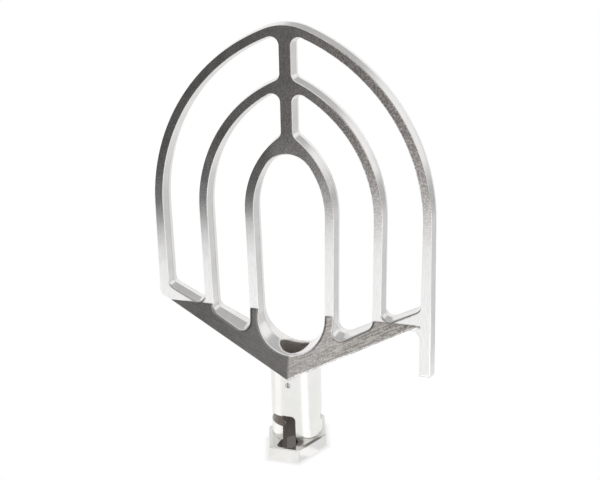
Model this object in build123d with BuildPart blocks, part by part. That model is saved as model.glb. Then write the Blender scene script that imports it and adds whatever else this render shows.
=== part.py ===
from build123d import *

# Flat beater paddle for a planetary mixer: cast bow frame, hub sleeve, pin collar, set screw.
# Millimetres, +Z up along the shaft bore, origin on the bore axis at the collar end face.
# Front face looks along -Y; the tail of the outer bow is on the +X side.
import math
import os

os.makedirs("parts", exist_ok=True)

# --- casting: thickness, draft and edge rounding ---
HALF_T = 7.0                # half thickness of the bows
RIM_R = 0.5                 # rounding of the rims on the front and rear faces
DRAFT = 10.0                # mould draft either side of the parting plane, degrees
SPREAD = HALF_T * math.tan(math.radians(DRAFT))     # growth of the section at the parting plane

# --- bows: every side is an arc centred on the spring line, across the centre line ---
SPRING_Z = 180.8            # height where the arcs meet the straight bars
OUTER_E = 37.4              # arc centre offset of the outer bow
OUTER_R = 139.7             # outside radius of the outer bow
OUTER_IN_R = 133.5          # inside radius of the outer bow
MID_E = 36.3                # arc centre offset of the middle bow
MID_R = 104.2
MID_IN_R = 97.9
LOOP_E = 36.6               # arc centre offset of the inner loop
LOOP_R = 69.6
LOOP_IN_R = 63.0
APEX_R = 40.0               # rounding of the outer point
LOOP_APEX_R = 18.0          # rounding of the point inside the inner loop
WEB_W = 8.7                 # width of the two centre webs
LEAN = 1.0                  # inward lean of the straight bars, degrees

# --- yoke: the V under the bows that thickens towards the hub ---
CREASE_Z = 107.3            # the faces start to slope here
FLARE = 0.245                # outward slope of the yoke faces
V_TIP_Z = 55.3              # lower point of the V on the parting plane
V_SLOPE = 0.535             # rise of the V per unit of half width
OUT_FLOOR = (76.0, 110.2, 0.50)     # outer windows: half width, height and rise of the floor
MID_FLOOR = (41.3, 94.2, 0.51)      # middle windows
LOOP_FLOOR_Z = 103.4        # the loop bars end and its round floor starts
LOOP_BASE_Z = 79.2          # lowest point of the round floor
WINDOW_R = 4.6              # corner rounding of the windows
CORNER_R = 6.0              # outer corner of the V
TAIL_END_Z = 67.8           # free end of the tail
TAIL_IN = 94.6              # inner side of the tail
TAIL_FILLET = 5.0           # blend from the V into the tail
TAIL_END_R = 1.5

# --- hub ---
HUB_R = 18.5                # hub outside radius
BORE_R = 11.0               # shaft bore of the sleeve, 22 mm across
MOUTH_R = 11.3              # clearance hole in the casting above the sleeve
SPIGOT_R = 14.8             # sleeve end inside the casting
SPIGOT_TOP_Z = 66.0
SHOULDER_Z = 72.0           # the notched shoulder of the sleeve ends below this

# --- bayonet slots and collar ---
SLOT_W = 9.8
SLOT_TOP_Z = 30.0
SLOT_R = 3.5                # upper corner away from the hook
HOOK_FLOOR_Z = 21.2         # lower side of the hook
HOOK_LEN = 20.0             # reach of the hook from the slot centre
HOOK_DIP = 2.8              # fall of the upper side of the hook at its end
COLLAR_H = 10.0
COLLAR_FACE_HW = 11.2       # half width of the front and rear flats
COLLAR_DEPTH = 31.0         # half depth over those flats
COLLAR_HW = 22.6            # half width at the side corners
COLLAR_CORNER_R = 3.0
COLLAR_RIM_R = 0.8          # rounding of the collar rims
POCKET_W = 13.2             # pin pocket in the collar
POCKET_REACH = 28.8
POCKET_R = 4.0

# --- slotted set screw through the sleeve wall, to bear on the mixer shaft ---
SCREW_Z = 54.8
SCREW_R = 2.1
SCREW_TIP = 11.8            # inner end of the screw, clear of the bore
SCREW_HEAD = 18.2           # outer end, level with the hub
DRIVE_W = 0.8               # driver slot
DRIVE_DEPTH = 1.6


def arc_side(offset, radius, top_x, lean=0):
    """Right-hand arc of a bow from just under the spring line up to half width top_x."""
    turn = math.degrees(math.acos((top_x + offset) / radius))
    return CenterArc((-offset, SPRING_Z), radius, -lean, turn + lean)


def bar_foot(arc, floor):
    """Point where a bar that carries on below its arc meets a sloping floor."""
    rise = math.tan(math.radians(LEAN))
    start = arc @ 0
    drop = (start.Y - floor_at(floor, start.X)) / (1 - floor[2] * rise)
    return (start.X - drop * rise, start.Y - drop)


def corners(sketch):
    """Vertices of a window that are true corners, not the smooth joints near the spring line."""
    return [v for v in sketch.vertices() if abs(v.Y - SPRING_Z) > 4]


def floor_at(floor, half_width):
    """Height of a sloping window floor at a half width."""
    return floor[1] + floor[2] * (half_width - floor[0])


def on_skin(edge):
    """True for an edge of the front or rear face, other than the crease between their parts."""
    points = [edge @ share for share in (0, 0.25, 0.5, 0.75, 1)]
    half_t = [HALF_T + FLARE * max(0, CREASE_Z - p.Z) for p in points]
    gap = max(abs(abs(p.Y) - t) for p, t in zip(points, half_t))
    level = max(abs(p.Z - CREASE_Z) for p in points)
    return gap < 0.02 and level > 0.05


def between(edge, roof_arc, belly_arc, floor):
    """True for an edge on a window that is bounded by two bows and a sloping floor."""
    middle = edge @ 0.5
    half_width = abs(middle.X)
    rise = max(0, middle.Z - SPRING_Z)
    roof = math.hypot(half_width + roof_arc[0], rise) < roof_arc[1] + 0.5
    belly = math.hypot(half_width + belly_arc[0], rise) > belly_arc[1] - 2
    return roof and belly and middle.Z > floor_at(floor, half_width) - 3


def trapped_window(roof_arc, belly_arc, floor):
    """Outline of a right-hand window between two bows, on the parting plane."""
    roof = arc_side(*roof_arc, web_hw, LEAN)
    belly = arc_side(*belly_arc, web_hw, LEAN)
    wall = Line(roof @ 0, bar_foot(roof, floor))
    sill = Line(wall @ 1, bar_foot(belly, floor))
    Line(sill @ 1, belly @ 0)
    Line(belly @ 1, roof @ 1)


# --- cast frame: bows, webs, yoke and tail in one casting ---
web_hw = WEB_W / 2 + SPREAD
outer_hw = OUTER_R + SPREAD - OUTER_E
v_out_z = V_TIP_Z + V_SLOPE * outer_hw
flare_end = HALF_T + FLARE * (CREASE_Z - V_TIP_Z)
MOULD = HUB_R + 4           # reach of the drafted cuts and bosses from the parting plane
SPAN = 120.0                # more than the half width, for the trimming cuts

with BuildPart() as beater_frame:
    # outline of the bows and the V, drafted to the front and to the back
    with BuildSketch(Plane.XZ) as outline:
        with BuildLine() as outline_line:
            bow = arc_side(OUTER_E, OUTER_R + SPREAD, 0)
            side = Line(bow @ 0, (outer_hw, v_out_z))
            arm = Line(side @ 1, (0, V_TIP_Z))
            mirror(about=Plane.YZ)
        make_face()
        peak = outline.vertices().sort_by(Axis.Y)[-1]
        fillet(peak, radius=APEX_R)
        low = [v for v in outline.vertices() if abs(v.Y - v_out_z) < 0.01]
        fillet(low, radius=CORNER_R)
    extrude(amount=MOULD, both=True, taper=DRAFT)

    # flat faces over the bows, faces that flare out below the crease
    with BuildSketch(Plane.YZ) as side_view:
        with BuildLine() as side_line:
            face_line = Line((HALF_T, SPRING_Z + OUTER_R), (HALF_T, CREASE_Z))
            flare_line = Line(face_line @ 1, (flare_end, V_TIP_Z))
            Line(flare_line @ 1, (0, V_TIP_Z))
            Line(face_line @ 0, (0, SPRING_Z + OUTER_R))
            mirror(about=Plane.YZ)
        make_face()
    extrude(amount=SPAN, both=True, mode=Mode.INTERSECT)

    # tail: the right-hand outer bar runs on below the V
    with BuildSketch(Plane.XZ) as tail:
        with BuildLine():
            tail_in = TAIL_IN - SPREAD
            tail_top = CREASE_Z + 2 * CORNER_R
            root_hw = tail_in - TAIL_FILLET * 2
            Polyline(
                (tail_in, TAIL_END_Z), (outer_hw, TAIL_END_Z), (outer_hw, tail_top),
                (tail_in, tail_top), (tail_in, CREASE_Z),
                (root_hw, CREASE_Z), (root_hw, V_TIP_Z + V_SLOPE * root_hw),
                (tail_in, V_TIP_Z + V_SLOPE * tail_in), (tail_in, TAIL_END_Z),
            )
        make_face()
        root = tail.vertices().filter_by_position(Axis.X, tail_in - 0.1, tail_in + 0.1)
        fillet(root.sort_by(Axis.Y)[1], radius=TAIL_FILLET)
        fillet(tail.vertices().group_by(Axis.Y)[0], radius=TAIL_END_R)
    extrude(amount=HALF_T, both=True, taper=DRAFT)

    # four side windows
    with BuildSketch(Plane.XZ) as outer_windows:
        with BuildLine():
            trapped_window((OUTER_E, OUTER_IN_R - SPREAD), (MID_E, MID_R + SPREAD), OUT_FLOOR)
        make_face()
        fillet(corners(outer_windows), radius=WINDOW_R)
        mirror(about=Plane.YZ)
    extrude(amount=MOULD, both=True, taper=-DRAFT, mode=Mode.SUBTRACT)
    with BuildSketch(Plane.XZ) as mid_windows:
        with BuildLine():
            trapped_window((MID_E, MID_IN_R - SPREAD), (LOOP_E, LOOP_R + SPREAD), MID_FLOOR)
        make_face()
        fillet(corners(mid_windows), radius=WINDOW_R)
        mirror(about=Plane.YZ)
    extrude(amount=MOULD, both=True, taper=-DRAFT, mode=Mode.SUBTRACT)

    # opening of the inner loop, pointed above and round below
    with BuildSketch(Plane.XZ) as loop_window:
        with BuildLine():
            loop_roof = arc_side(LOOP_E, LOOP_IN_R - SPREAD, 0, LEAN)
            loop_wall = Line(loop_roof @ 0, bar_foot(loop_roof, (0, LOOP_FLOOR_Z, 0)))
            TangentArc(loop_wall @ 1, (0, LOOP_BASE_Z), tangent=loop_wall % 1)
            mirror(about=Plane.YZ)
        make_face()
        loop_peak = loop_window.vertices().sort_by(Axis.Y)[-1]
        fillet(loop_peak, radius=LOOP_APEX_R)
    extrude(amount=MOULD, both=True, taper=-DRAFT, mode=Mode.SUBTRACT)

    # rounded rims of the five openings, front and rear
    skin = [e for e in beater_frame.edges() if on_skin(e)]
    outer_rims = [e for e in skin if between(e, (OUTER_E, OUTER_IN_R), (MID_E, MID_R), OUT_FLOOR)]
    fillet(outer_rims, radius=RIM_R)
    skin = [e for e in beater_frame.edges() if on_skin(e)]
    mid_rims = [e for e in skin if between(e, (MID_E, MID_IN_R), (LOOP_E, LOOP_R), MID_FLOOR)]
    fillet(mid_rims, radius=RIM_R)
    skin = [e for e in beater_frame.edges() if on_skin(e)]
    loop_rims = [e for e in skin if between(e, (LOOP_E, LOOP_IN_R), (0, 0), (0, LOOP_BASE_Z, 0))]
    fillet(loop_rims, radius=RIM_R)

    # hole up into the loop, with the seat for the sleeve below it
    with BuildSketch(Plane.XY) as seat:
        Circle(SPIGOT_R)
    extrude(amount=SPIGOT_TOP_Z, mode=Mode.SUBTRACT)
    with BuildSketch(Plane.XY) as mouth:
        Circle(MOUTH_R)
    extrude(amount=LOOP_FLOOR_Z, mode=Mode.SUBTRACT)

beater_frame.part.label = "beater_frame"


# --- hub sleeve: steel tube with two bayonet slots; its spigot is pressed up into the casting ---
REAR_VIEW = Plane(origin=(0, 0, 0), x_dir=(-1, 0, 0), z_dir=(0, 1, 0))

with BuildPart() as hub_sleeve:
    with BuildSketch(Plane.XY) as tube:
        Circle(HUB_R)
    extrude(amount=SHOULDER_Z)
    # the shoulder is notched to sit against the underside of the V
    with BuildSketch(Plane.XZ) as notch:
        with BuildLine():
            Polyline(
                (0, V_TIP_Z), (SPAN, V_TIP_Z + V_SLOPE * SPAN),
                (-SPAN, V_TIP_Z + V_SLOPE * SPAN), close=True,
            )
        make_face()
    extrude(amount=MOULD, both=True, taper=DRAFT, mode=Mode.SUBTRACT)
    with BuildSketch(Plane.XY) as spigot:
        Circle(SPIGOT_R)
    extrude(amount=SPIGOT_TOP_Z)
    with BuildSketch(Plane.XY) as sleeve_bore:
        Circle(BORE_R)
    extrude(amount=SPIGOT_TOP_Z, mode=Mode.SUBTRACT)
    # the slots are alike on both sides, half a turn apart
    for view in (Plane.XZ, REAR_VIEW):
        with BuildSketch(view) as slot:
            with Locations((0, SLOT_TOP_Z / 2)):
                Rectangle(SLOT_W, SLOT_TOP_Z)
            with BuildLine():
                Polyline((0, SLOT_TOP_Z), (-HOOK_LEN, SLOT_TOP_Z - HOOK_DIP),
                         (-HOOK_LEN, HOOK_FLOOR_Z), (0, HOOK_FLOOR_Z), close=True)
            make_face()
            top = slot.vertices().filter_by_position(Axis.X, 0, SLOT_W)
            fillet(top.sort_by(Axis.Y)[-1], radius=SLOT_R)
        extrude(amount=HUB_R + 1, mode=Mode.SUBTRACT)
    with BuildSketch(Plane.XZ.offset(BORE_R / 2)) as sleeve_tap:
        with Locations((0, SCREW_Z)):
            Circle(SCREW_R)
    extrude(amount=HUB_R, mode=Mode.SUBTRACT)

hub_sleeve.part.label = "hub_sleeve"


# --- pin collar: six-sided ring round the slotted end, with a pocket over each slot ---
with BuildPart() as pin_collar:
    with BuildSketch(Plane.XY) as hexagon:
        with BuildLine():
            Polyline(
                (COLLAR_FACE_HW, -COLLAR_DEPTH), (COLLAR_HW, 0), (COLLAR_FACE_HW, COLLAR_DEPTH),
                (-COLLAR_FACE_HW, COLLAR_DEPTH), (-COLLAR_HW, 0), (-COLLAR_FACE_HW, -COLLAR_DEPTH),
                close=True,
            )
        make_face()
        fillet(hexagon.vertices(), radius=COLLAR_CORNER_R)
    extrude(amount=COLLAR_H)
    rims = pin_collar.faces().filter_by(Axis.Z).edges()
    fillet(rims, radius=COLLAR_RIM_R)
    with BuildSketch(Plane.XY) as ring_bore:
        Circle(HUB_R)
    extrude(amount=COLLAR_H, mode=Mode.SUBTRACT)
    with BuildSketch(Plane.XY) as pockets:
        RectangleRounded(POCKET_W, 2 * POCKET_REACH, POCKET_R)
    extrude(amount=COLLAR_H, mode=Mode.SUBTRACT)

pin_collar.part.label = "pin_collar"


# --- slotted set screw in the front of the hub ---
with BuildPart() as set_screw:
    with BuildSketch(Plane.XZ.offset(SCREW_TIP)) as shank:
        with Locations((0, SCREW_Z)):
            Circle(SCREW_R)
    extrude(amount=SCREW_HEAD - SCREW_TIP)
    with BuildSketch(Plane.XZ.offset(SCREW_HEAD - DRIVE_DEPTH)) as driver_slot:
        with Locations((0, SCREW_Z)):
            Rectangle(DRIVE_W, 3 * SCREW_R)
    extrude(amount=DRIVE_DEPTH, mode=Mode.SUBTRACT)

set_screw.part.label = "set_screw"

for piece in (beater_frame, hub_sleeve, pin_collar, set_screw):
    export_step(piece.part, f"parts/{piece.part.label}.step")
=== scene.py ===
import math

import bpy
from mathutils import Matrix, Vector


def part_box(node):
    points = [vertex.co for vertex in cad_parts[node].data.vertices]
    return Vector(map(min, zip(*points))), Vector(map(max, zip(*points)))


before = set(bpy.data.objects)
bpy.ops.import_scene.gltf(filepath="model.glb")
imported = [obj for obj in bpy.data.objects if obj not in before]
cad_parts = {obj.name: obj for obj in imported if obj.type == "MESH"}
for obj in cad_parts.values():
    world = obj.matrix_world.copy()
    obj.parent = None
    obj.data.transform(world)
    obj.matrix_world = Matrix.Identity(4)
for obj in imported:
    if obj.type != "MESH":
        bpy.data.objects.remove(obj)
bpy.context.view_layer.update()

MM = 0.001

# ---------------------------------------------------------------- camera
# Angle, distance and lens worked out from the paddle's own proportions.
AZIMUTH, ELEVATION, ROLL = 19.31, 18.76, -1.32
CAMERA_AT = Vector((0.29456, -0.82502, 0.45712))
LENS_MM, SENSOR_MM = 78.31, 36.0
CLIP_NEAR, CLIP_FAR = 0.01, 50

az, el = math.radians(AZIMUTH), math.radians(ELEVATION)
back = Vector((math.sin(az) * math.cos(el), -math.cos(az) * math.cos(el), math.sin(el)))
camera_data = bpy.data.cameras.new("camera")
camera = bpy.data.objects.new("camera", camera_data)
bpy.context.scene.collection.objects.link(camera)
camera_data.lens = LENS_MM
camera_data.sensor_width = SENSOR_MM
camera_data.clip_start = CLIP_NEAR
camera_data.clip_end = CLIP_FAR
turn = (-back).to_track_quat("-Z", "Y").to_matrix() @ Matrix.Rotation(math.radians(ROLL), 3, "Z")
camera.matrix_world = Matrix.Translation(CAMERA_AT) @ turn.to_4x4()
bpy.context.scene.camera = camera

# unit normal of the collar's slanted sides, across and front to back
COLLAR_SLANT = (0.9385, 0.3451)


# ---------------------------------------------------------------- node helpers
class Tree:
    """Short-hand for building a node tree.

    A ramp is given as (value where the share is 0, value where the share is 1).
    """

    def __init__(self, tree):
        self.tree = tree
        tree.nodes.clear()

    def link(self, value, socket):
        self.tree.links.new(value, socket)

    def add(self, kind, values=None, **settings):
        """New node with the given settings, its sockets set or linked to the given values."""
        node = self.tree.nodes.new(kind)
        for name, value in settings.items():
            setattr(node, name, value)
        for name, value in (values or {}).items():
            if isinstance(value, bpy.types.NodeSocket):
                self.link(value, node.inputs[name])
            else:
                node.inputs[name].default_value = value
        return node

    def math(self, operation, a, b=0.0):
        return self.add("ShaderNodeMath", {0: a, 1: b}, operation=operation).outputs[0]

    def plus(self, a, b):
        return self.math("ADD", a, b)

    def minus(self, a, b):
        return self.math("SUBTRACT", a, b)

    def times(self, first, *others):
        for other in others:
            first = self.math("MULTIPLY", first, other)
        return first

    def size(self, value):
        return self.math("ABSOLUTE", value)

    def ramp(self, value, ends, to=(0.0, 1.0), smooth=True):
        """Carries the range between the two ends onto `to`, and stays flat beyond them."""
        return self.add(
            "ShaderNodeMapRange",
            {"Value": value, "From Min": ends[0], "From Max": ends[1], "To Min": to[0], "To Max": to[1]},
            interpolation_type="SMOOTHSTEP" if smooth else "LINEAR",
        ).outputs[0]

    def window(self, value, rise, fall):
        """1 between a rising and a falling ramp, 0 outside them."""
        return self.times(self.ramp(value, rise), self.ramp(value, fall))

    def blend(self, share, a, b):
        """Number between a and b."""
        return self.add("ShaderNodeMix", {"Factor": share, "A": a, "B": b}).outputs[0]

    def mix(self, share, a, b):
        """Colour between a and b; sockets 6 and 7 are the node's two colours."""
        return self.add("ShaderNodeMix", {0: share, 6: a, 7: b}, data_type="RGBA").outputs[2]

    def noise(self, where, scale, detail, roughness):
        return self.add(
            "ShaderNodeTexNoise",
            {"Vector": where, "Scale": scale, "Detail": detail, "Roughness": roughness},
        ).outputs["Fac"]

    def streaks(self, where, scale, detail, roughness, turn_deg=(0, 0, 0)):
        """Noise with its own scale along each axis, the axes turned first."""
        turned = self.add(
            "ShaderNodeMapping",
            {
                "Vector": where,
                "Scale": tuple(1 / s for s in scale),
                "Rotation": tuple(math.radians(a) for a in turn_deg),
            },
            vector_type="TEXTURE",
        ).outputs[0]
        return self.noise(turned, 1.0, detail, roughness)

    def split(self, vector):
        node = self.add("ShaderNodeSeparateXYZ", {"Vector": vector})
        return node.outputs["X"], node.outputs["Y"], node.outputs["Z"]

    def place(self):
        """Object coordinates, whole and split into x, y and z."""
        whole = self.add("ShaderNodeTexCoord").outputs["Object"]
        return whole, self.split(whole)

    def facing(self):
        """True surface normal split into x, y and z."""
        return self.split(self.add("ShaderNodeNewGeometry").outputs["True Normal"])

    def from_axis(self, x, y):
        """Distance from the hub's axis."""
        squares = self.plus(self.math("POWER", x, 2.0), self.math("POWER", y, 2.0))
        return self.math("POWER", squares, 0.5)

    def slant(self, wide, deep):
        """Distance from the middle, measured square to the collar's slanted sides."""
        return self.plus(self.times(wide, COLLAR_SLANT[0]), self.times(deep, COLLAR_SLANT[1]))

    def bearing(self, x, y):
        """Direction round the paddle in degrees: 0 towards -Y, 90 towards +X."""
        return self.times(self.math("ARCTAN2", x, self.times(y, -1.0)), 180 / math.pi)


def grey(value, warm=0.0):
    """Grey, with `warm` as the share added to its red and taken from its blue."""
    return (value * (1 + warm), value, value * (1 - warm), 1)


def metal(name, colour, build):
    material = bpy.data.materials.new(name)
    material.use_nodes = True
    tree = Tree(material.node_tree)
    out = tree.add("ShaderNodeOutputMaterial")
    shader = tree.add("ShaderNodeBsdfPrincipled", {"Metallic": 1.0, "Base Color": colour})
    tree.link(shader.outputs[0], out.inputs["Surface"])
    tone, roughness, normal = build(tree)
    tree.link(tone, shader.inputs["Base Color"])
    tree.link(roughness, shader.inputs["Roughness"])
    tree.link(normal, shader.inputs["Normal"])
    return material


# ---------------------------------------------------------------- materials
BEVEL_SAMPLES = 12
CLOUD = (0.3, 0.7)    # the part of a noise that is spread over a change of tone or gloss


def rounded(tree, radius, height, strength, distance):
    """Surface normal with softened edges and a fine relief on top, and the same without the relief."""
    edge = tree.add("ShaderNodeBevel", {"Radius": radius}, samples=BEVEL_SAMPLES)
    relief = {"Strength": strength, "Distance": distance, "Height": height, "Normal": edge.outputs[0]}
    return tree.add("ShaderNodeBump", relief).outputs[0], edge.outputs[0]


# painted shade beside each slot, where the hub meets the collar: its side by x times y, then width, depth,
# height and cloudiness
SLOT_SHADE_SIDE = (-2e-5, -5e-5)
SLOT_SHADE_WIDE, SLOT_SHADE_DEEP = (11.2 * MM, 9.2 * MM), (25.0 * MM, 22.5 * MM)
SLOT_SHADE_TOP = (15.0 * MM, 12.5 * MM)
SLOT_SHADE_CLOUD, SLOT_SHADE_SHARE = (0.25, 0.60), (0.75, 1.0)


def painted_slot_shade(tree, spot, cloud):
    """Painted shade beside the closed side of each slot, where the hub meets the collar."""
    x, y, z = spot
    return tree.times(
        tree.ramp(tree.times(x, y), SLOT_SHADE_SIDE),
        tree.ramp(tree.size(x), SLOT_SHADE_WIDE),
        tree.ramp(tree.size(y), SLOT_SHADE_DEEP),
        tree.ramp(z, SLOT_SHADE_TOP),
        tree.ramp(cloud, SLOT_SHADE_CLOUD, SLOT_SHADE_SHARE),
    )


# which part of the casting is which, by its normal or its place
FACE_NORMAL = (0.80, 0.94)                      # front and rear faces
YOKE_NORMAL = (0.10, 0.18)                      # sloping faces of the V
RIGHT_SIDE = (-1.5 * MM, 1.5 * MM)              # right of the middle
WORN_HEIGHT = (150 * MM, 230 * MM)              # bows, above the straight bars
ARM_SLOPE, ARM_FOOT = 0.535, 55.3 * MM          # lower edge of the V: its slope, and its height in the middle
ARM_REACH = (5 * MM, 85 * MM)                   # along each arm of the V, from the middle
ARM_ANGLE = 27                                  # degrees that each arm's grinding marks are turned
SPECKLED_X = (15 * MM, 50 * MM)                 # right-hand bows

# width of the softened rims
RIM_HEIGHT, RIM_WIDTH = (110 * MM, 126 * MM), (2.6 * MM, 0.5 * MM)
FLANK_X, FLANK_HEIGHT, FLANK_EXTRA = (20 * MM, 50 * MM), (140 * MM, 180 * MM), 0.6 * MM
LEFT_EDGE_ABOVE, LEFT_EDGE_SHARE = (9 * MM, 7 * MM), (1.0, 0.2)

# relief
FACE_RELIEF, SPECK_RELIEF = 0.35, (0.10, 0.55)
PIT_RELIEF, GRAIN_RELIEF = 0.30, 0.20
CAST_STRENGTH, CAST_DEPTH = 0.30, 0.18 * MM

# gloss
BLOTCH = (0.25, 0.75)
FACE_ROUGH, SIDE_ROUGH = (0.14, 0.19), (0.13, 0.19)
YOKE_SMOOTHER, HOLE_ROUGHER = 0.05, 0.2

# darker patch on the left-hand side of the inner bow
DARK_PATCH_X = ((-52 * MM, -46 * MM), (-8 * MM, -18 * MM))
DARK_PATCH_HEIGHT = ((172 * MM, 194 * MM), (250 * MM, 230 * MM))
DARK_PATCH_SHARE = 0.58

# painted darker reflection, speckled, on the sides where the right-hand bows turn into straight bars
BEND_HEIGHT = ((182 * MM, 198 * MM), (220 * MM, 204 * MM))
BEND_NORMAL, BEND_X = (0.2, 0.7), (18 * MM, 26 * MM)

# painted dark reflection where the rounded rims at the front start to turn upwards, placed by the softened
# normal
RIM_REFLECTION_UP = ((0.27, 0.38), (0.78, 0.62))
RIM_REFLECTION_FRONT, RIM_REFLECTION_X, RIM_REFLECTION_SHARE = (-0.35, -0.50), (28 * MM, 36 * MM), 0.8

SEAM_DEEP, SEAM_SHARE = (0.45 * MM, 0.15 * MM), 0.55    # mould parting line half way through the sides
HOLE_RADIUS, HOLE_HEIGHT = (11.65 * MM, 11.45 * MM), (92 * MM, 88 * MM)


def cast_aluminium(tree):
    """Ground and burnished front and rear faces, coarser as-cast sides, dull hole above the sleeve."""
    place, (x, y, z) = tree.place()
    normal_x, normal_y, normal_z = tree.facing()
    wide = tree.size(x)
    face = tree.ramp(tree.size(normal_y), FACE_NORMAL)
    yoke = tree.times(face, tree.ramp(tree.size(normal_z), YOKE_NORMAL))
    right = tree.ramp(x, RIGHT_SIDE)
    worn = tree.ramp(z, WORN_HEIGHT)

    # each arm of the yoke is ground along its own length, the bars along theirs
    right_arm = tree.streaks(place, (90, 300, 1700), 6.0, 0.72, (0, -ARM_ANGLE, 0))
    left_arm = tree.streaks(place, (90, 300, 1900), 5.0, 0.65, (0, ARM_ANGLE, 0))
    arms = tree.blend(right, left_arm, right_arm)
    bars = tree.streaks(place, (1500, 300, 120), 4.0, 0.6)
    blotch = tree.noise(place, 70.0, 5.0, 0.6)
    pits = tree.noise(place, 750.0, 5.0, 0.7)
    grain = tree.noise(place, 2400.0, 3.0, 0.65)

    specks = tree.times(pits, tree.ramp(worn, (0.0, 1.0), SPECK_RELIEF, smooth=False))
    ground = tree.plus(tree.times(tree.blend(yoke, bars, arms), FACE_RELIEF), specks)
    cast = tree.plus(tree.times(pits, PIT_RELIEF), tree.times(grain, GRAIN_RELIEF))
    height = tree.blend(face, cast, ground)

    # softer rims round the yoke, crisp ones on the bows and along the left arm of the V
    flank = tree.times(tree.ramp(x, FLANK_X), tree.ramp(z, FLANK_HEIGHT))
    rim = tree.plus(tree.ramp(z, RIM_HEIGHT, RIM_WIDTH), tree.times(flank, FLANK_EXTRA))
    above = tree.minus(z, tree.plus(tree.times(wide, ARM_SLOPE), ARM_FOOT))
    left_edge = tree.times(tree.ramp(above, LEFT_EDGE_ABOVE), tree.minus(1.0, right))
    rim = tree.times(rim, tree.ramp(left_edge, (0.0, 1.0), LEFT_EDGE_SHARE, smooth=False))
    normal, soft = rounded(tree, rim, height, CAST_STRENGTH, CAST_DEPTH)

    # faces of the bars and bows
    plain = tree.mix(tree.ramp(bars, (0.36, 0.64)), grey(0.83, 0.004), grey(0.90, 0.004))
    rubbed = tree.mix(tree.ramp(pits, (0.38, 0.62)), grey(0.70, 0.004), grey(0.92, 0.004))
    speckled = tree.mix(tree.ramp(pits, (0.44, 0.60)), grey(0.52, 0.02), grey(1.0))
    rubbed = tree.mix(tree.ramp(x, SPECKLED_X), rubbed, speckled)
    # darker patch on the faces of the left-hand side of the inner bow
    dark_patch = tree.times(tree.window(x, *DARK_PATCH_X), tree.window(z, *DARK_PATCH_HEIGHT))
    ground_tone = tree.mix(tree.times(dark_patch, DARK_PATCH_SHARE), tree.mix(worn, plain, rubbed), grey(0.30, 0.01))

    # sides
    # painted darker reflection, speckled, on the sides where the right-hand bows turn into straight bars
    bend = tree.times(tree.window(z, *BEND_HEIGHT), tree.ramp(normal_x, BEND_NORMAL), tree.ramp(x, BEND_X))
    bend_speckle_and_reflection = tree.mix(tree.ramp(pits, (0.34, 0.66)), grey(0.54, 0.01), grey(0.70, 0.01))
    cast_tone = tree.mix(tree.ramp(blotch, CLOUD), grey(0.80, 0.010), grey(0.88, 0.010))
    cast_tone = tree.mix(bend, cast_tone, bend_speckle_and_reflection)
    colour = tree.mix(face, cast_tone, ground_tone)

    # arms of the yoke, tones painted as reflection: the right one darkens outwards, the left one is darker
    # and lightens outwards; the streaks in them are grinding marks
    reach = tree.ramp(wide, ARM_REACH, smooth=False)
    streak = tree.ramp(tree.plus(tree.times(arms, 0.6), tree.times(pits, 0.4)), (0.43, 0.57))
    right_arm_streaks_and_reflection = tree.mix(reach, tree.mix(streak, grey(0.58, 0.03), grey(1.0)),
                          tree.mix(streak, grey(0.26, 0.03), grey(0.80, 0.03)))
    left_arm_streaks_and_reflection = tree.mix(reach, tree.mix(streak, grey(0.28, 0.01), grey(0.35, 0.01)),
                         tree.mix(streak, grey(0.60, 0.01), grey(0.70, 0.01)))
    colour = tree.mix(yoke, colour, tree.mix(right, left_arm_streaks_and_reflection, right_arm_streaks_and_reflection))

    # painted dark reflection on the rounded front rims of the windows, where they start to turn upwards
    _, soft_y, soft_z = tree.split(soft)
    rim_dark_reflection = tree.times(tree.window(soft_z, *RIM_REFLECTION_UP), tree.ramp(soft_y, RIM_REFLECTION_FRONT),
                        tree.ramp(wide, RIM_REFLECTION_X))
    colour = tree.mix(tree.times(rim_dark_reflection, RIM_REFLECTION_SHARE), colour, grey(0.16, 0.02))
    seam = tree.ramp(tree.size(y), SEAM_DEEP)
    colour = tree.mix(tree.times(seam, SEAM_SHARE), colour, grey(0.30, 0.02))
    hole = tree.times(tree.ramp(tree.from_axis(x, y), HOLE_RADIUS), tree.ramp(z, HOLE_HEIGHT))
    colour = tree.mix(hole, colour, grey(0.93, 0.03))

    rough = tree.blend(face, tree.ramp(blotch, BLOTCH, SIDE_ROUGH), tree.ramp(blotch, BLOTCH, FACE_ROUGH))
    rough = tree.minus(rough, tree.times(yoke, YOKE_SMOOTHER))
    return colour, tree.plus(rough, tree.times(hole, HOLE_ROUGHER)), normal


SLEEVE_RIM, SLEEVE_STRENGTH, SLEEVE_DEPTH = 0.5 * MM, 0.12, 0.05 * MM
# where the inside of the sleeve starts; the inside is rougher, and painted darker as shade
SLEEVE_INSIDE = (18.4 * MM, 18.0 * MM)
SLEEVE_ROUGH, SLEEVE_INSIDE_ROUGHER = (0.15, 0.22), 0.25


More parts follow.
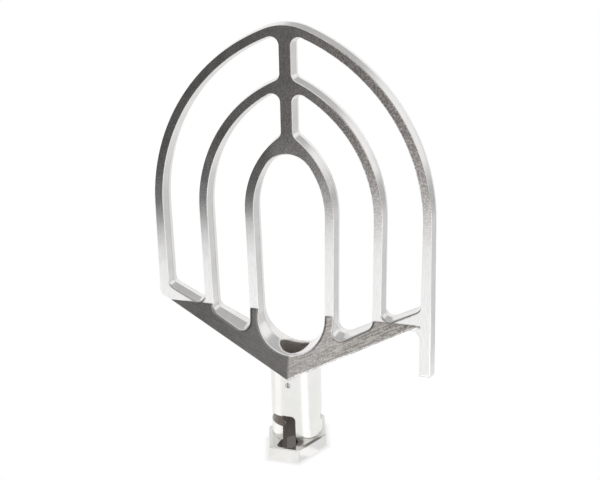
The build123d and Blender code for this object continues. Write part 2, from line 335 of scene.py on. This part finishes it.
def turned_steel(tree):
    """Fine turning lines around the hub with soft cloudy wear, painted shade beside each slot, and a dull
    inside painted darker as shade.
    """
    place, spot = tree.place()
    rings = tree.streaks(place, (25, 25, 5200), 2.0, 0.5)
    cloud = tree.noise(place, 90.0, 4.0, 0.6)
    scratch = tree.streaks(place, (900, 900, 120), 3.0, 0.6, (8, 14, 0))
    height = tree.plus(tree.times(rings, 0.6), tree.times(scratch, 0.4))
    normal, _ = rounded(tree, SLEEVE_RIM, height, SLEEVE_STRENGTH, SLEEVE_DEPTH)

    inside = tree.ramp(tree.from_axis(spot[0], spot[1]), SLEEVE_INSIDE)
    rough = tree.plus(tree.ramp(cloud, CLOUD, SLEEVE_ROUGH), tree.times(inside, SLEEVE_INSIDE_ROUGHER))
    tone = tree.mix(tree.ramp(cloud, CLOUD), (0.80, 0.795, 0.765, 1), (0.85, 0.845, 0.82, 1))
    # painted shade beside each slot, where the hub meets the collar
    tone = tree.mix(painted_slot_shade(tree, spot, cloud), tone, (0.34, 0.33, 0.32, 1))
    # inside of the sleeve painted darker and warmer as shade, on top of its rougher finish
    return tree.mix(inside, tone, (0.66, 0.62, 0.595, 1)), rough, normal


COLLAR_RIM, COLLAR_STRENGTH, COLLAR_DEPTH = 0.9 * MM, 0.12, 0.06 * MM
COLLAR_ROUGH = (0.14, 0.22)
COLLAR_SIDE_NORMAL = (0.5, 0.8)
# painted dark reflection: a line just inside the upper edge of the slanted sides
COLLAR_REFLECTION_SLANT, COLLAR_REFLECTION_HEIGHT = (18.5 * MM, 19.2 * MM), (8.9 * MM, 9.4 * MM)
COLLAR_REFLECTION_SIDE, COLLAR_REFLECTION_DEEP = (-6e-5, -16e-5), (26.0 * MM, 21.5 * MM)
COLLAR_REFLECTION_CLOUD, COLLAR_REFLECTION_SHARE = (0.25, 0.55), (0.7, 1.0)


def polished_steel(tree):
    """Buffed collar: bright front and rear flats, duller slanted sides, painted shade beside each slot and a
    painted dark reflection along the upper rim.
    """
    place, spot = tree.place()
    x, y, z = spot
    normal_x, _, _ = tree.facing()
    marks = tree.streaks(place, (200, 200, 2600), 3.0, 0.6, (0, 6, 0))
    cloud = tree.noise(place, 120.0, 4.0, 0.6)
    normal, _ = rounded(tree, COLLAR_RIM, marks, COLLAR_STRENGTH, COLLAR_DEPTH)

    tone = tree.mix(tree.ramp(cloud, CLOUD), (0.79, 0.785, 0.76, 1), (0.87, 0.865, 0.84, 1))
    tone = tree.mix(tree.ramp(tree.size(normal_x), COLLAR_SIDE_NORMAL), tone, (0.70, 0.695, 0.68, 1))
    # painted shade beside each slot, where the hub meets the collar
    tone = tree.mix(painted_slot_shade(tree, spot, cloud), tone, (0.36, 0.35, 0.34, 1))
    # painted dark reflection just inside the upper edge of the slanted sides
    line = tree.times(
        tree.ramp(tree.slant(tree.size(x), tree.size(y)), COLLAR_REFLECTION_SLANT),
        tree.ramp(z, COLLAR_REFLECTION_HEIGHT),
        tree.ramp(tree.times(x, y), COLLAR_REFLECTION_SIDE),
        tree.ramp(tree.size(y), COLLAR_REFLECTION_DEEP),
        tree.ramp(cloud, COLLAR_REFLECTION_CLOUD, COLLAR_REFLECTION_SHARE),
    )
    tone = tree.mix(line, tone, (0.24, 0.23, 0.22, 1))
    return tone, tree.ramp(cloud, CLOUD, COLLAR_ROUGH), normal


SCREW_RIM, SCREW_STRENGTH, SCREW_DEPTH = 0.2 * MM, 0.3, 0.1 * MM
SCREW_ROUGH = (0.30, 0.45)


def dark_steel(tree):
    """Small screw with a speckled, duller surface."""
    place, _ = tree.place()
    specks = tree.noise(place, 1800.0, 3.0, 0.6)
    normal, _ = rounded(tree, SCREW_RIM, specks, SCREW_STRENGTH, SCREW_DEPTH)
    tone = tree.mix(specks, grey(0.55, 0.02), grey(0.72, 0.01))
    return tone, tree.ramp(specks, CLOUD, SCREW_ROUGH), normal


MATERIALS = {
    "beater_frame": metal("cast_aluminium", grey(0.78), cast_aluminium),
    "hub_sleeve": metal("hub_steel", grey(0.8), turned_steel),
    "pin_collar": metal("collar_steel", grey(0.8), polished_steel),
    "set_screw": metal("screw_steel", grey(0.6), dark_steel),
}

for name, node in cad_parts.items():
    for slot in node.material_slots:
        slot.material = MATERIALS[name]
    if not node.material_slots:
        node.data.materials.append(MATERIALS[name])

# ---------------------------------------------------------------- surroundings
# Soft white light from all round, with darker bands that only the metal's reflections show. Bearings are in
# degrees round the paddle, and `up` is the vertical part of a direction of length 1.
FRONT_BEARING = ((-95, -70), (48, 28))
FRONT_UP = (0.52, 0.30)
HORIZON_UP = (-0.10, 0.06)
NEAR_UP = (-0.247, -0.228)
NEAR_TONES = ((0.556, 0.512, 0.492, 1), (0.298, 0.275, 0.264, 1))
LOW_BEARING, LOW_TONE = (-19.2, -13.5), grey(0.074, 0.01)
HIGH_BEARING, HIGH_TONES = (-20.6, -19.2), (grey(0.16, 0.01), grey(0.60, 0.035))
BACK_BEARING, BACK_LOW_UP, BACK_LOW_TONE = ((95, 115), (172, 160)), (0.06, -0.10), grey(0.60)
BACK_HIGH_BEARING, BACK_HIGH_UP, BACK_HIGH_TONE = (95, 115), (0.42, 0.56), grey(0.52)
SKY_TONE, SKY_SEEN = grey(0.95), grey(1.0)

world = bpy.data.worlds.new("studio")
bpy.context.scene.world = world
world.use_nodes = True
sky = Tree(world.node_tree)
sky_out = sky.add("ShaderNodeOutputWorld")
sky_ray = sky.add("ShaderNodeLightPath")
sky_x, sky_y, up = sky.split(sky.add("ShaderNodeTexCoord").outputs["Generated"])
round_deg = sky.bearing(sky_x, sky_y)

low_tone = sky.mix(sky.ramp(round_deg, LOW_BEARING), LOW_TONE, sky.mix(sky.ramp(up, NEAR_UP), *NEAR_TONES))
high_tone = sky.mix(sky.ramp(round_deg, HIGH_BEARING), *HIGH_TONES)
front = sky.times(sky.window(round_deg, *FRONT_BEARING), sky.ramp(up, FRONT_UP))
back_low = sky.times(sky.window(round_deg, *BACK_BEARING), sky.ramp(up, BACK_LOW_UP))
back_high = sky.times(sky.ramp(sky.size(round_deg), BACK_HIGH_BEARING), sky.ramp(up, BACK_HIGH_UP))
mirrored = sky.mix(back_low, SKY_TONE, BACK_LOW_TONE)
mirrored = sky.mix(back_high, mirrored, BACK_HIGH_TONE)
mirrored = sky.mix(front, mirrored, sky.mix(sky.ramp(up, HORIZON_UP), low_tone, high_tone))
shown = sky.mix(sky_ray.outputs["Is Camera Ray"], mirrored, SKY_SEEN)
background = sky.add("ShaderNodeBackground", {"Color": shown, "Strength": 1.0})
sky.link(background.outputs[0], sky_out.inputs["Surface"])

# ---------------------------------------------------------------- table
# Glowing white table under the paddle. It fades out in front, and that edge comes nearer on the left. The
# stripes and the tones at its side and rear show only in reflections. Lengths are from the hub's axis.
TABLE_REACH = 2.5
TABLE_TONE = grey(1.0)
EDGE_Y = (-0.71, -0.45)
SKEW_X, SKEW_SLOPE = -0.13, 0.66
STRIPE_RIGHT, STRIPE_LEFT = ((36, 46), (74, 62)), ((-95, -80), (-40, -60))
STRIPE_LEFT_SHARE, STRIPE_TONE = 0.6, grey(1.30)
SIDE_BEARING, SIDE_AWAY, SIDE_TONE = ((96, 116), (172, 158)), (0.16, 0.32), grey(0.68)
REAR_BEARING, REAR_AWAY, REAR_TONE = (150, 172), (0.15, 0.30), grey(0.82)
# shaded inside the mouth of the hub and the collar's pin pockets
MOUTH_RADIUS = (19.5 * MM, 18.5 * MM)
POCKET_X, POCKET_Y = (8.0 * MM, 7.0 * MM), (30.0 * MM, 29.0 * MM)
INSIDE_TONE, INSIDE_SEEN = grey(0.13, 0.06), grey(0.14, 0.06)
# soft contact shade outside the collar, and how far out its slanted sides and its flats lie
COLLAR_SIDE, COLLAR_FLAT = 21.2 * MM, 31.0 * MM
CONTACT_REACH, CONTACT_TONE = (0.0, 4.5 * MM), grey(0.84, 0.01)

floor_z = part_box("pin_collar")[0].z
corners = ((-TABLE_REACH, -TABLE_REACH), (TABLE_REACH, -TABLE_REACH),
           (TABLE_REACH, TABLE_REACH), (-TABLE_REACH, TABLE_REACH))
mesh = bpy.data.meshes.new("floor")
mesh.from_pydata([(x, y, floor_z) for x, y in corners], [], [(0, 1, 2, 3)])
floor = bpy.data.objects.new("floor", mesh)
bpy.context.scene.collection.objects.link(floor)
floor_material = bpy.data.materials.new("floor")
floor_material.use_nodes = True
table = Tree(floor_material.node_tree)
table_out = table.add("ShaderNodeOutputMaterial")
table_ray = table.add("ShaderNodeLightPath")
table_place, (table_x, table_y, _) = table.place()
table_deg = table.bearing(table_x, table_y)
away = table.add("ShaderNodeVectorMath", {0: table_place}, operation="LENGTH").outputs["Value"]

stripes = table.plus(table.window(table_deg, *STRIPE_RIGHT),
                     table.times(table.window(table_deg, *STRIPE_LEFT), STRIPE_LEFT_SHARE))
side_back = table.times(table.window(table_deg, *SIDE_BEARING), table.ramp(away, SIDE_AWAY))
far_back = table.times(table.ramp(table.size(table_deg), REAR_BEARING), table.ramp(away, REAR_AWAY))
lit = table.mix(stripes, TABLE_TONE, STRIPE_TONE)
lit = table.mix(side_back, lit, SIDE_TONE)
lit = table.mix(far_back, lit, REAR_TONE)

abs_x, abs_y = table.size(table_x), table.size(table_y)
pocket = table.times(table.ramp(abs_x, POCKET_X), table.ramp(abs_y, POCKET_Y))
inside = table.math("MAXIMUM", table.ramp(away, MOUTH_RADIUS), pocket)
outside = table.math("MAXIMUM", table.minus(table.slant(abs_x, abs_y), COLLAR_SIDE),
                     table.minus(abs_y, COLLAR_FLAT))
contact = table.ramp(outside, CONTACT_REACH)
pale = table.mix(inside, table.mix(contact, CONTACT_TONE, TABLE_TONE), INSIDE_SEEN)
lit = table.mix(inside, lit, INSIDE_TONE)
tone = table.mix(table_ray.outputs["Is Camera Ray"], lit, pale)
glow = table.add("ShaderNodeEmission", {"Color": tone, "Strength": 1.0})
clear = table.add("ShaderNodeBsdfTransparent")
skew = table.times(table.math("MAXIMUM", table.minus(SKEW_X, table_x), 0.0), SKEW_SLOPE)
edge = table.ramp(table.minus(table_y, skew), EDGE_Y)
fade = table.add("ShaderNodeMixShader", {0: edge, 1: clear.outputs[0], 2: glow.outputs[0]})
table.link(fade.outputs[0], table_out.inputs["Surface"])
mesh.materials.append(floor_material)

bpy.context.scene.view_settings.view_transform = "Standard"
bpy.context.scene.view_settings.look = "None"
